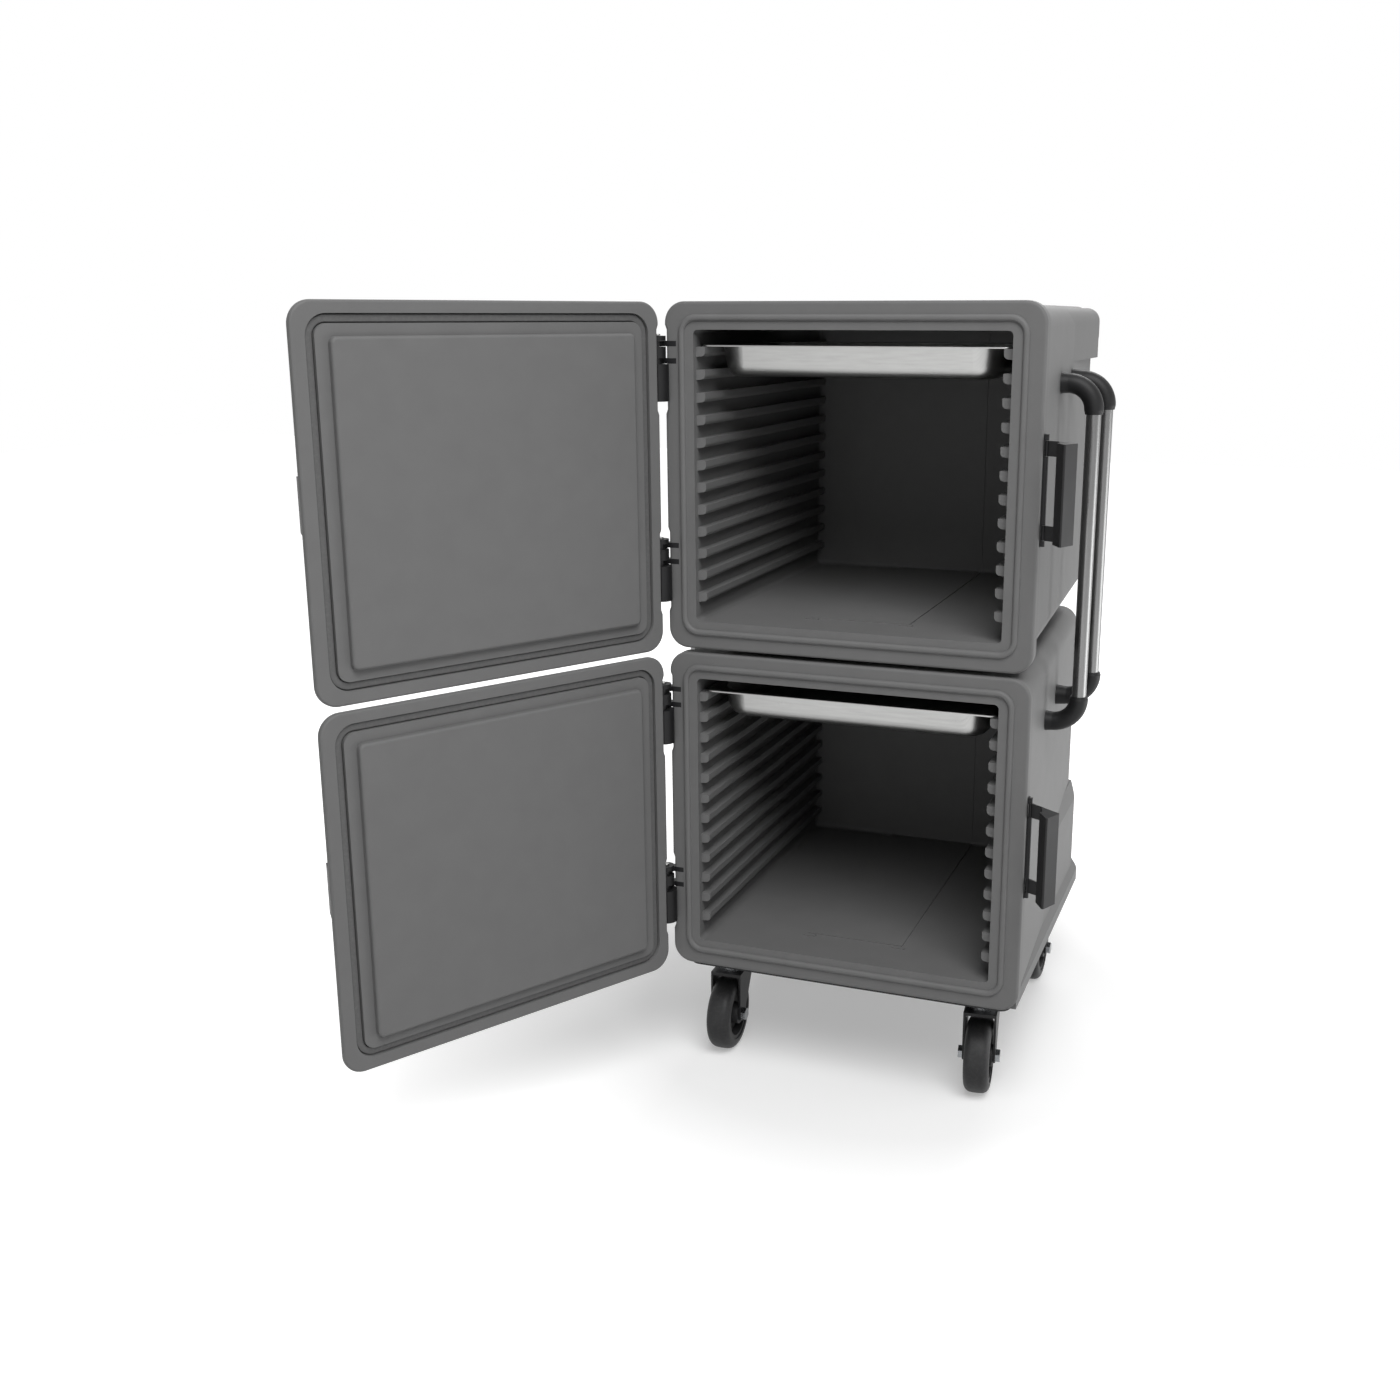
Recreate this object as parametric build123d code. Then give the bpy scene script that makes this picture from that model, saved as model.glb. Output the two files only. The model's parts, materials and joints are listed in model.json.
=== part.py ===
from build123d import *
from math import atan2, cos, degrees, radians, sin, sqrt
import os

# Heated transport cart for food pans: two insulated cabinets, one on the other,
# each with a side-hung door, on four wheels.
# Millimetres. X is the width, Y runs from the front to the back, Z is up from the floor.
# Everything is drawn from the front flange plane at Y 0, and is moved back at the end so
# that the origin lies on the floor under the middle of the cabinets.

# How far a shape that cuts or joins runs past the face that it meets
past = 1.0

# Pans, the 1/1 gastronorm size
pan_length = 530.0
pan_depth = 325.0
pan_drop = 50.0
pan_rim = 18.0
pan_sheet = 1.2
pan_taper = 10.0
pan_corner = 50.0
pan_rim_corner = 12.0
pan_bottom_radius = 24.0
pan_front = 21.0
pan_lift = 0.2
pan_side_gap = 4.7

# Pan rails
rail_count = 12
rail_pitch = 38.1
rail_drop = 28.0
rail_floor_gap = 49.9
rail_reach = 16.0
rail_root = 17.0
rail_tip = 15.0
rail_tip_radius = 7.0
rail_door_gap = 1.0
rail_back_gap = 8.0

# Cabinets, inside
opening_depth = 675.0
opening_corner = 8.0
opening_back_radius = 7.5
land_half_width = 90.0
land_height = 2.0
land_front = 96.0
lug_x = 85.0
lug_front = 84.0
lug_length = 24.0
lug_width = 7.0

# Cabinets, outside
flange_side = 52.8
flange_foot = 49.0
flange_head = 46.0
flange_thickness = 28.0
flange_front_radius = 5.0
flange_back_radius = 3.0
flange_corner = 35.0
flange_gap = 8.0
flange_overhang = 4.0
back_wall = 37.0
side_draw = 30.0
upper_top_step = 6.0
lower_top_step = 4.0
upper_floor_step = 25.0
lower_floor_step = 2.0
foot_step = 7.0
body_corner = 34.0
rear_corner = 28.0
skin = 5.0
insulation_front = 18.0
upper_hump_inset = 16.0
upper_hump_drop = 3.0
upper_hump_height = 94.0
upper_hump_front = 350.0
upper_hump_corner = 26.0
upper_hump_rear = 22.0
upper_lip_height = 56.0
upper_lip_front = 600.0
upper_lip_out = 4.0
lower_hump_inset = 14.0
lower_hump_height = 185.0
lower_hump_front = 320.0
lower_hump_slope = (12.0, 32.0)
lower_hump_corner = 34.0
skirt_inset = 4.0
skirt_height = 23.0
skirt_front = 30.0
skirt_slope = (14.0, 16.5)
skirt_corner = 18.0

# Ring of raised bead round the opening, which the door's seal closes on
bead_out_side = 21.3
bead_out_end = 19.5
bead_width = 11.0
bead_height = 5.0
bead_round = 4.9
bead_corner = 26.0

# Doors
door_side_step = 2.5
door_end_step = 0.75
door_gap = 1.0
rim_thickness = 14.0
rim_face_radius = 4.0
rim_back_radius = 6.0
door_bulge = 37.0
bulge_slope = 22.0
bulge_corner = 30.0
bulge_radius = 10.0
rim_flat = 14.0
panel_clearance = 5.5
panel_height = 12.0
panel_corner = 10.0
panel_radius = 5.0
groove_width = 14.0
groove_depth = 9.0
seal_width = 12.0
seal_height = 4.5
seal_radius = 2.0
door_foam_corner = 14.0
panel_foam_corner = 6.0
door_angle = 118.9

# Hinges
hinge_out = 5.5
hinge_y = -17.0
hinge_recess = 3.0
recess_below = 14.0
recess_above = 10.0
recess_ramp = 8.0
leaf_height = 108.0
leaf_foot = 86.0
leaf_head = 56.0
barrel_radius = 14.5
lower_barrel_radius = 19.0
barrel_flat = 13.0
finger_drops = (13.0, 41.5)
finger_height = 9.0
finger_radius = 7.0
finger_width = 12.0
finger_root = 18.5
spine_step = 2.0
path_reach = 42.0
path_steps = 12
finger_depth = 13.8
finger_play = 0.5
finger_side_gap = 0.3
pin_radius = 3.0
pin_play = 0.06
pin_head_radius = 5.5
pin_head_height = 2.6
pin_head_gap = 0.4
strap_share = 0.8
strap_thickness = 5.0
strap_start = 6.0
door_swing = 210.0

# Latches; the plan points of the open latch are counted from its pin
latch_pin_out = 4.5
latch_pin_y = 14.0
latch_pin_radius = 2.0
latch_knuckle = 3.2
latch_rise = 3.0
latch_height = 158.0
latch_arm_height = 24.0
latch_close_angle = 48.0
latch_plate_height = 178.0
latch_plate_thickness = 1.0
latch_plate_ys = (8.0, 24.0)
latch_ear_play = 0.5
latch_ear_heel = 5.0
latch_grip_radius = 2.5
latch_plan = {
    "tip": (38.3, -70.0), "outer": (54.4, -36.0), "back": (43.0, -28.0),
    "lip": (21.1, -39.0), "inner": (26.5, -39.0), "elbow": (20.0, -11.0),
    "root": (3.0, -4.0), "heel": (2.0, 2.6)}
keeper_gap = 0.5
keeper_height = 84.0
keeper_foot = 1.0

# Handles
tube_out = 48.0
tube_ys = (230.0, 380.0)
tube_radius = 12.5
tube_wall = 2.0
handle_bottom_drops = (122.5, 111.0)
handle_top_drop = 128.0
elbow_bend = 44.0
elbow_bury = 40.0
elbow_root_radius = 21.5
elbow_bend_radius = 16.5
elbow_wall = 2.2
elbow_bottom_rise = 5.0
elbow_top_rise = 7.5
socket_depth = 12.0
socket_play = 0.1

# Casters
wheel_radius = 70.0
tread_width = 46.0
tread_thickness = 20.0
tread_crown = 2.5
tread_corner = 14.0
rim_width = 42.0
web_thickness = 12.0
rim_wall = 7.0
core_draft = 1.5
hub_width = 50.0
hub_radius = 20.0
swivel_xs = {"left": -256.0, "right": 236.0}
swivel_y = 127.0
swivel_trail = 27.0
swivel_turns = {"left": 2.0, "right": 6.0}
rigid_inset = 76.0
rigid_back = 98.0
axle_radius = 6.0
axle_play = 0.08
axle_head = 8.0
axle_head_across = 22.0
fork_gap = 1.0
fork_sheet = 4.0
fork_foot = 14.0
fork_top_front = -12.0
fork_top_back = 60.0
rigid_fork_reach = 30.0
fork_shoulder = 10.0
crown_clearance = 8.0
crown_thickness = 6.0
race_radius = 28.0
race_height = 8.0
race_play = 0.4
race_round = 2.0
stud_radius = 8.0
stud_head_radius = 14.0
stud_head_height = 6.0
housing_radius = 34.0
housing_round = 3.0
housing_height = 28.6
plate_thickness = 6.0
plate_width = 84.0
plate_length = 104.0
plate_corner = 10.0
bolt_spread_x = 60.0
bolt_spread_y = 80.0
bolt_radius = 4.0
bolt_hole_play = 0.2
bolt_head_radius = 7.5
bolt_head_height = 5.0

# Base plate that the casters are bolted to
base_inset = 16.0
base_front = 24.0
base_back_gap = 12.0
base_corner = 20.0
base_thickness = 6.0

# Stacking runners under the upper cabinet
runner_inset = 111.0
runner_width = 62.0
runner_front = 70.0
runner_back_gap = 72.0
runner_corner = 12.0

# Heater units on the back
heater_width = 300.0
heater_height = 150.0
heater_thickness = 34.0
heater_lift = 120.0
heater_wall = 3.0
heater_corner = 14.0
heater_round = 8.0
louvre_count = 7
louvre_pitch = 11.0
louvre_length = 120.0
louvre_slot = 3.0
louvre_x = 55.0
rocker_x = -105.0
rocker_width = 22.0
rocker_height = 30.0
rocker_depth = 9.0
rocker_pivot_drop = 8.0
rocker_pin_radius = 2.0
rocker_play = 0.6
rocker_end_play = 1.6
rocker_edge = 4.0
rocker_dish = 1.5
rocker_bore = 2.0
rocker_pin_length = 1.8
rocker_well_depth = 17.0
switch_wall = 3.0
rocker_tilt = 7.0
inlet_x = -60.0
inlet_width = 27.0
inlet_height = 20.0
inlet_depth = 16.0
inlet_wall = 3.0
inlet_corner = 5.0
inlet_cavity_corner = 3.0
inlet_proud = 1.0
contact_places = ((-7.0, -3.0), (0.0, 3.0), (7.0, -3.0))
contact_width = 2.0
contact_height = 5.0
contact_set_back = 5.0

# Worked out from the sizes above
opening_width = pan_length + 2 * pan_side_gap
opening_half = opening_width / 2
opening_height = rail_drop + (rail_count - 1) * rail_pitch + rail_floor_gap
flange_width = opening_width + 2 * flange_side
flange_height = flange_foot + opening_height + flange_head
flange_half = flange_width / 2
door_width = flange_width - 2 * door_side_step
door_height = flange_height - 2 * door_end_step
opening_lift = flange_foot + opening_height / 2
cabinet_depth = opening_depth + back_wall
front_half_width = flange_half - flange_overhang
taper = side_draw / (cabinet_depth - flange_thickness)
origin_shift = -cabinet_depth / 2
hinge_x = -flange_half - hinge_out
rail_front = panel_height - door_gap + rail_door_gap
leaf_lifts = (leaf_foot, flange_height - leaf_head - leaf_height)
latch_pin_x = flange_half + latch_pin_out
latch_centre_lift = flange_height / 2 + latch_rise
tube_x = front_half_width + tube_out
elbow_tip_radius = tube_radius + socket_play + elbow_wall
rigid_x = front_half_width - rigid_inset
rigid_y = cabinet_depth - rigid_back
base_half_width = front_half_width - base_inset
runner_x = front_half_width - runner_inset
crown_bottom_z = 2 * wheel_radius + crown_clearance
crown_top_z = crown_bottom_z + crown_thickness
race_top_z = crown_top_z + race_height
plate_bottom_z = race_top_z + race_play + housing_height
plate_top_z = plate_bottom_z + plate_thickness
base_top_z = plate_top_z + base_thickness
lower_flange_bottom = base_top_z + foot_step
lower_bottom_z = lower_flange_bottom + lower_floor_step
lower_top_z = lower_flange_bottom + flange_height - lower_top_step
upper_flange_bottom = lower_flange_bottom + flange_height + flange_gap
upper_bottom_z = upper_flange_bottom + upper_floor_step
upper_top_z = upper_flange_bottom + flange_height - upper_top_step
handle_bottom_zs = [lower_top_z - drop for drop in handle_bottom_drops]
handle_top_z = upper_top_z - handle_top_drop


def front_plane(y, z=0.0, x=0.0):
    """A drawing plane across the cabinet: X to the right, Z up, seen from the front."""
    return Plane(origin=(x, y, z), x_dir=(1, 0, 0), z_dir=(0, -1, 0))


def slab(sketch, y_from, y_to, z=0.0):
    """A front-view outline made solid between two depths."""
    return extrude(front_plane(y_to, z) * sketch, amount=y_to - y_from)


def block(x_from, x_to, y_from, y_to, z_from, z_to):
    """A plain block between two corners."""
    size = (abs(x_to - x_from), abs(y_to - y_from), abs(z_to - z_from))
    middle = ((x_from + x_to) / 2, (y_from + y_to) / 2, (z_from + z_to) / 2)
    return Pos(*middle) * Box(*size)


def prism(points, z_from, z_to):
    """A plan outline made solid between two heights."""
    outline = make_face(Polyline(*points, close=True))
    return extrude(Pos(0, 0, z_from) * outline, amount=z_to - z_from)


def side_half_width(y):
    """Half the cabinet's outside width at a depth, where the walls draw in to the back."""
    return front_half_width - taper * (y - flange_thickness)


def at_depth(shape, y, tolerance=0.01):
    """The edges that lie wholly at one depth."""
    edges = shape.edges()
    return edges.filter_by(lambda e: abs(e.bounding_box().min.Y - y) < tolerance
                           and abs(e.bounding_box().max.Y - y) < tolerance)


def flange_outline(width, height):
    """A front outline of cabinet or door, set back on the hinge side at each hinge leaf."""
    outline = RectangleRounded(width, height, flange_corner)
    edge = -width / 2
    for lift in leaf_lifts:
        low = lift - recess_below - flange_height / 2
        high = lift + leaf_height + recess_above - flange_height / 2
        outline -= make_face(Polyline(
            (edge - past, low - recess_ramp),
            (edge, low - recess_ramp),
            (edge + hinge_recess, low),
            (edge + hinge_recess, high),
            (edge, high + recess_ramp),
            (edge - past, high + recess_ramp),
            close=True))
    return outline


def ring(width, height, corner, band):
    """A closed band of even width, as seen from the front, about its middle line."""
    outer = RectangleRounded(width + band, height + band, corner + band / 2)
    inner = RectangleRounded(width - band, height - band, corner - band / 2)
    return outer - inner


def bead_ring(band):
    """The band that the cabinet's bead and the door's groove both follow."""
    width = opening_width + 2 * bead_out_side
    height = opening_height + 2 * bead_out_end
    return ring(width, height, bead_corner, band)


def tapered_block(z_low, z_high, inset):
    """The body behind the flange, drawn in all round by an inset."""
    y_front = flange_thickness if inset == 0 else insulation_front
    y_back = cabinet_depth - inset
    front = side_half_width(y_front) - inset
    back = side_half_width(y_back) - inset
    body = prism([(-front, y_front), (front, y_front), (back, y_back), (-back, y_back)],
                 z_low + inset, z_high - inset)
    long_edges = [e for e in body.edges() if e.bounding_box().size.Y > (y_back - y_front) / 2]
    body = fillet(long_edges, body_corner - inset)
    return fillet(at_depth(body, y_back), rear_corner - inset)


def opening_block(flange_bottom, grow):
    """The inside of the cabinet, from in front of the flange to the back wall."""
    outline = RectangleRounded(opening_width + 2 * grow, opening_height + 2 * grow,
                               opening_corner + grow)
    inside = slab(outline, -past, opening_depth + grow, flange_bottom + opening_lift)
    if grow == 0:
        inside = fillet(at_depth(inside, opening_depth), opening_back_radius)
    return inside


def cabinet_front(flange_bottom):
    """The flange with its bead."""
    middle = flange_bottom + flange_height / 2
    flange = slab(flange_outline(flange_width, flange_height), 0, flange_thickness, middle)
    flange = fillet(at_depth(flange, 0), flange_front_radius)
    flange = fillet(at_depth(flange, flange_thickness), flange_back_radius)
    bead = slab(bead_ring(bead_width), -bead_height, past, flange_bottom + opening_lift)
    bead = fillet(at_depth(bead, -bead_height), bead_round)
    return flange + bead


def foam_core(flange_bottom, z_low, z_high):
    """The insulation between the outer skin and the inside."""
    return tapered_block(z_low, z_high, skin) - opening_block(flange_bottom, skin)


def hump_block(height, y_front, y_back):
    """A round-shouldered block across the top of the upper cabinet's rear half."""
    top = upper_top_z - upper_hump_drop
    outline = Rectangle(2 * (front_half_width - upper_hump_inset), height)
    outline = fillet(outline.vertices().group_by(Axis.Y)[-1], upper_hump_corner)
    hump = slab(outline, y_front, y_back, top - height / 2)
    rear = [e for e in at_depth(hump, y_back) if e.bounding_box().max.Z > top - height + past]
    return fillet(rear, upper_hump_rear)


def upper_hump():
    """The top of the upper cabinet's rear half, proud of the tapered walls, with its lip."""
    lip = hump_block(upper_lip_height, upper_lip_front, cabinet_depth + upper_lip_out)
    return hump_block(upper_hump_height, upper_hump_front, cabinet_depth) + lip


def land(flange_bottom):
    """The low raised land on the inside's floor and back wall, and the two lugs before it."""
    floor = flange_bottom + flange_foot
    back = opening_depth
    pieces = block(-land_half_width, land_half_width, land_front, back + past, floor - past,
                   floor + land_height)
    pieces += block(-land_half_width, land_half_width, back - land_height, back + past, floor,
                    floor + opening_height - opening_back_radius)
    for x in (-lug_x, lug_x):
        pieces += block(x - lug_length / 2, x + lug_length / 2, lug_front, lug_front + lug_width,
                        floor - past, floor + land_height)
    return pieces


def sloped_band(half, height, slope, y_from, rear_round):
    """A straight-sided band along the lower cabinet's foot, sloped in along its top."""
    low = base_top_z
    slope_in, slope_up = slope
    outline = make_face(Polyline(
        (-half, low), (half, low), (half, low + height), (half - slope_in, low + height + slope_up),
        (slope_in - half, low + height + slope_up), (-half, low + height), close=True))
    plan = Pos(0, cabinet_depth / 2) * Rectangle(2 * half, cabinet_depth)
    plan = fillet(plan.vertices().group_by(Axis.Y)[-1], rear_round)
    tall = Pos(0, 0, low) * extrude(plan, amount=height + slope_up)
    return slab(outline, y_from, cabinet_depth) & tall


def hinge_pockets(flange_bottom):
    """The slots in the flange that the hinge brackets sit in."""
    edge = -flange_half + hinge_recess
    pockets = []
    for lift in leaf_lifts:
        top = flange_bottom + lift + leaf_height
        for drop in finger_drops:
            middle = top - drop
            half = finger_height / 2
            pockets.append(block(edge - finger_width, edge + finger_root, -past, finger_depth,
                                 middle - half, middle + half))
        low = top - finger_drops[1]
        high = top - finger_drops[0]
        pockets.append(block(edge - finger_width, edge + finger_root - spine_step,
                             finger_depth / 2, finger_depth, low, high))
    return pockets


def cabinet_shell(flange_bottom, z_low, z_high, extras):
    """One rotationally moulded cabinet: outer skin, flange, bead and inside in one piece."""
    shell = cabinet_front(flange_bottom) + tapered_block(z_low, z_high, 0)
    for extra in extras:
        shell += extra
    shell -= opening_block(flange_bottom, 0)
    shell += land(flange_bottom)
    shell -= foam_core(flange_bottom, z_low, z_high)
    for pocket in hinge_pockets(flange_bottom):
        shell -= pocket
    return shell


def stacking_runners(z_low, z_high):
    """The two runners that the upper cabinet stands on."""
    runners = []
    for side in (-1, 1):
        x = side * runner_x
        runner = block(x - runner_width / 2, x + runner_width / 2, runner_front,
                       cabinet_depth - runner_back_gap, z_low, z_high)
        runners.append(fillet(runner.edges().filter_by(Axis.Z), runner_corner))
    return runners


def rails(flange_bottom, side):
    """The moulded pan rails of one inside wall."""
    wall = opening_half
    tip = wall - rail_reach
    profile = make_face(Polyline(
        (wall, -rail_root), (wall, 0), (tip, 0), (tip, -rail_tip), close=True))
    lower_tip = profile.vertices().group_by(Axis.X)[0].sort_by(Axis.Y)[0]
    profile = fillet(lower_tip, rail_tip_radius)
    rail = slab(profile, rail_front, opening_depth - rail_back_gap)
    if side < 0:
        rail = mirror(rail, Plane.YZ)
    first = flange_bottom + flange_foot + opening_height - rail_drop
    return [Pos(0, 0, first - rail_pitch * i) * rail for i in range(rail_count)]


def door_closed(flange_bottom):
    """The door's moulding in its closed place: rim, outer bulge, groove and inner panel."""
    middle = flange_bottom + flange_height / 2
    opening_middle = flange_bottom + opening_lift
    face = -door_gap
    rim_back = face - rim_thickness
    rim = slab(flange_outline(door_width, door_height), rim_back, face, middle)
    rim = fillet(at_depth(rim, face), rim_face_radius)
    rim = fillet(at_depth(rim, rim_back), rim_back_radius)
    base = RectangleRounded(door_width - 2 * rim_flat, door_height - 2 * rim_flat, bulge_corner)
    bulge = extrude(front_plane(rim_back, middle) * base, amount=door_bulge,
                    taper=degrees(atan2(bulge_slope, door_bulge)))
    bulge = fillet(at_depth(bulge, rim_back - door_bulge), bulge_radius)
    panel = RectangleRounded(opening_width - 2 * panel_clearance,
                             opening_height - 2 * panel_clearance, panel_corner)
    panel = slab(panel, face - 1, face + panel_height, opening_middle)
    panel = fillet(at_depth(panel, face + panel_height), panel_radius)
    groove = slab(bead_ring(groove_width), face - groove_depth, face + 1, opening_middle)
    return rim + bulge + panel - groove


def door_foam(flange_bottom):
    """The insulation inside the door."""
    middle = flange_bottom + flange_height / 2
    face = -door_gap
    back = face - rim_thickness - door_bulge + skin
    web = face - groove_depth - skin
    inset = rim_flat + bulge_slope + skin
    outer = RectangleRounded(door_width - 2 * inset, door_height - 2 * inset, door_foam_corner)
    shrink = 2 * (panel_clearance + skin)
    inner = RectangleRounded(opening_width - shrink, opening_height - shrink, panel_foam_corner)
    inner = slab(inner, web - 1, face + panel_height - skin, flange_bottom + opening_lift)
    return slab(outer, back, web, middle) + inner


def door_seal(flange_bottom):
    """The silicone seal that lies in the door's groove."""
    bottom = -door_gap - groove_depth
    seal = slab(bead_ring(seal_width), bottom, bottom + seal_height, flange_bottom + opening_lift)
    return fillet(at_depth(seal, bottom + seal_height), seal_radius)


def hinge_angle():
    """The direction of the bracket's fingers from the hinge axis, with the axis as centre."""
    edge = -flange_half + hinge_recess
    shoulder_x = edge - finger_width / 2 - finger_side_gap
    shoulder_y = finger_depth / 2
    return shoulder_x - hinge_x, shoulder_y - hinge_y


def finger_path():
    """The plan area that a finger sweeps over in the door's leaf as the door opens."""
    dx, dy = hinge_angle()
    lean = degrees(atan2(dy, dx))
    turns = [radians(lean + door_swing * i / path_steps) for i in range(path_steps + 1)]
    sector = [(0, 0)] + [(path_reach * cos(a), path_reach * sin(a)) for a in turns]
    path = Circle(finger_radius + finger_play) + make_face(Polyline(*sector, close=True))
    width = finger_width + 2 * finger_play
    for a in (lean, lean + door_swing):
        path += Rot(0, 0, a) * (Pos(path_reach / 2, 0) * Rectangle(path_reach, width))
    return path


def hinge_leaf(bottom):
    """The door's half of a hinge: barrel and strap, slotted for the bracket's fingers."""
    top = bottom + leaf_height
    low_part = leaf_height - finger_drops[1] - finger_height / 2 - finger_play
    edge_x = -door_width / 2 + hinge_recess - hinge_x
    face_y = -door_gap - rim_thickness - hinge_y
    bend_x = -door_width / 2 + rim_flat - hinge_x
    slope = sqrt(bulge_slope ** 2 + door_bulge ** 2)
    nx = -door_bulge / slope * strap_thickness
    ny = -bulge_slope / slope * strap_thickness
    end_x = bend_x + bulge_slope * strap_share
    end_y = face_y - door_bulge * strap_share
    corner_x = bend_x + nx + (strap_thickness + ny) * bulge_slope / door_bulge
    barrel = Pos(0, 0, bottom) * extrude(Circle(barrel_radius), amount=leaf_height)
    barrel += Pos(0, 0, bottom) * extrude(Circle(lower_barrel_radius), amount=low_part)
    barrel -= block(edge_x, path_reach, face_y, path_reach, bottom - past, top + past)
    barrel -= block(-path_reach, path_reach, -path_reach, -barrel_flat, bottom - past, top + past)
    strap = prism([(-strap_start, face_y), (-strap_start, face_y - strap_thickness),
                   (corner_x, face_y - strap_thickness), (end_x + nx, end_y + ny),
                   (end_x, end_y), (bend_x, face_y)], bottom, top)
    leaf = barrel + strap
    for drop in finger_drops:
        low = top - drop - finger_height / 2 - finger_play
        leaf -= Pos(0, 0, low) * extrude(finger_path(), amount=finger_height + 2 * finger_play)
    leaf -= Pos(0, 0, bottom - past) * extrude(Circle(pin_radius + pin_play),
                                               amount=leaf_height + 2 * past)
    return Pos(hinge_x, hinge_y, 0) * leaf


def hinge_bracket(bottom):
    """The cabinet's half of a hinge: two fingers on a spine that is set into the flange."""
    top = bottom + leaf_height
    edge = -flange_half + hinge_recess
    dx, dy = hinge_angle()
    length = sqrt(dx * dx + dy * dy)
    bracket = block(edge, edge + finger_root - spine_step, finger_depth / 2, finger_depth,
                    top - finger_drops[1], top - finger_drops[0])
    arm = Rot(0, 0, degrees(atan2(dy, dx))) * (Pos(length / 2, 0) * Rectangle(length, finger_width))
    arm += Circle(finger_radius)
    arm += Pos(dx, dy) * Circle(finger_width / 2)
    for drop in finger_drops:
        low = top - drop - finger_height / 2
        bracket += Pos(hinge_x, hinge_y, low) * extrude(arm, amount=finger_height)
        bracket += block(hinge_x + dx, edge + finger_root, 0, finger_depth,
                         low, low + finger_height)
    hole = Pos(hinge_x, hinge_y, bottom) * extrude(Circle(pin_radius), amount=leaf_height)
    return bracket - hole


def hinge_pin(bottom):
    """A hinge pin with a flat head, which hangs in the bracket's fingers."""
    top = bottom + leaf_height + pin_head_gap
    pin = Pos(0, 0, bottom) * extrude(Circle(pin_radius), amount=top - bottom)
    head = Pos(0, 0, top) * extrude(Circle(pin_head_radius), amount=pin_head_height)
    head = fillet(head.edges().group_by(Axis.Z)[-1], pin_head_height / 2)
    return Pos(hinge_x, hinge_y, 0) * (pin + head)


def latch_point(name, turn=0.0):
    """A plan corner of the latch, at a turn from its open place."""
    x, y = latch_plan[name]
    a = radians(turn)
    return (latch_pin_x + x * cos(a) - y * sin(a), latch_pin_y + x * sin(a) + y * cos(a))


def latch(flange_bottom):
    """The swinging latch: two arms on the pin and a grip between them."""
    middle = flange_bottom + latch_centre_lift
    low = middle - latch_height / 2
    high = middle + latch_height / 2
    grip = prism([latch_point(n) for n in ("tip", "outer", "back", "lip")], low, high)
    grip = fillet(grip.edges().filter_by(Axis.Z), latch_grip_radius)
    arm_outline = [latch_point(n) for n in ("heel", "back", "inner", "elbow", "root")]
    piece = grip
    for arm_low in (low, high - latch_arm_height):
        arm = prism(arm_outline, arm_low, arm_low + latch_arm_height)
        knuckle = Pos(latch_pin_x, latch_pin_y, arm_low) * extrude(
            Circle(latch_knuckle), amount=latch_arm_height)
        piece += arm + knuckle
    hole = Pos(latch_pin_x, latch_pin_y, low - past) * extrude(
        Circle(latch_pin_radius + pin_play), amount=latch_height + 2 * past)
    return piece - hole


def latch_bracket(flange_bottom):
    """The latch's plate on the flange's edge, with an ear outside each arm and one between."""
    middle = flange_bottom + latch_centre_lift
    low = middle - latch_plate_height / 2
    high = middle + latch_plate_height / 2
    plate = block(flange_half, flange_half + latch_plate_thickness, latch_plate_ys[0],
                  latch_plate_ys[1], low, high)
    arm_low = middle - latch_height / 2
    arm_high = middle + latch_height / 2
    ears = [(low, arm_low - latch_ear_play),
            (arm_low + latch_arm_height + latch_ear_play,
             arm_high - latch_arm_height - latch_ear_play),
            (arm_high + latch_ear_play, high)]
    reach = latch_pin_out - latch_plate_thickness / 2
    ear = Circle(latch_knuckle) + Pos(-reach / 2, 0) * Rectangle(reach, 2 * latch_knuckle)
    ear += make_face(Polyline((-reach, 0), (0, 0), (0, latch_knuckle),
                              (-reach, latch_knuckle + latch_ear_heel), close=True))
    piece = plate
    for ear_low, ear_high in ears:
        piece += Pos(latch_pin_x, latch_pin_y, ear_low) * extrude(ear, amount=ear_high - ear_low)
    hole = Pos(latch_pin_x, latch_pin_y, low - past) * extrude(
        Circle(latch_pin_radius), amount=latch_plate_height + 2 * past)
    return piece - hole


def latch_pin(flange_bottom):
    """The latch's pin, from the lowest ear to the highest."""
    low = flange_bottom + latch_centre_lift - latch_plate_height / 2
    return Pos(latch_pin_x, latch_pin_y, low) * extrude(
        Circle(latch_pin_radius), amount=latch_plate_height)


def keeper(flange_bottom):
    """The door's keeper, a wedge whose face lies along the shut latch."""
    lip = latch_point("lip", -latch_close_angle)
    tip = latch_point("tip", -latch_close_angle)
    run = sqrt((tip[0] - lip[0]) ** 2 + (tip[1] - lip[1]) ** 2)
    off_x = keeper_gap * (tip[1] - lip[1]) / run
    off_y = -keeper_gap * (tip[0] - lip[0]) / run
    rim_back = -door_gap - rim_thickness
    slope_top = door_width / 2 - rim_flat
    points = [(lip[0] + off_x, lip[1] + off_y), (tip[0] + off_x, tip[1] + off_y),
              (slope_top - bulge_slope * strap_share, rim_back - door_bulge * strap_share),
              (slope_top, rim_back), (lip[0] + off_x - keeper_foot, rim_back)]
    middle = flange_bottom + latch_centre_lift
    return prism(points, middle - keeper_height / 2, middle + keeper_height / 2)


def cone(plane, from_radius, to_radius, length):
    """A round taper along a plane's normal."""
    profile = make_face(Polyline((0, 0), (from_radius, 0), (to_radius, length), (0, length),
                                 close=True))
    return plane * revolve(Plane.XZ * profile, Axis.Z)


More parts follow.
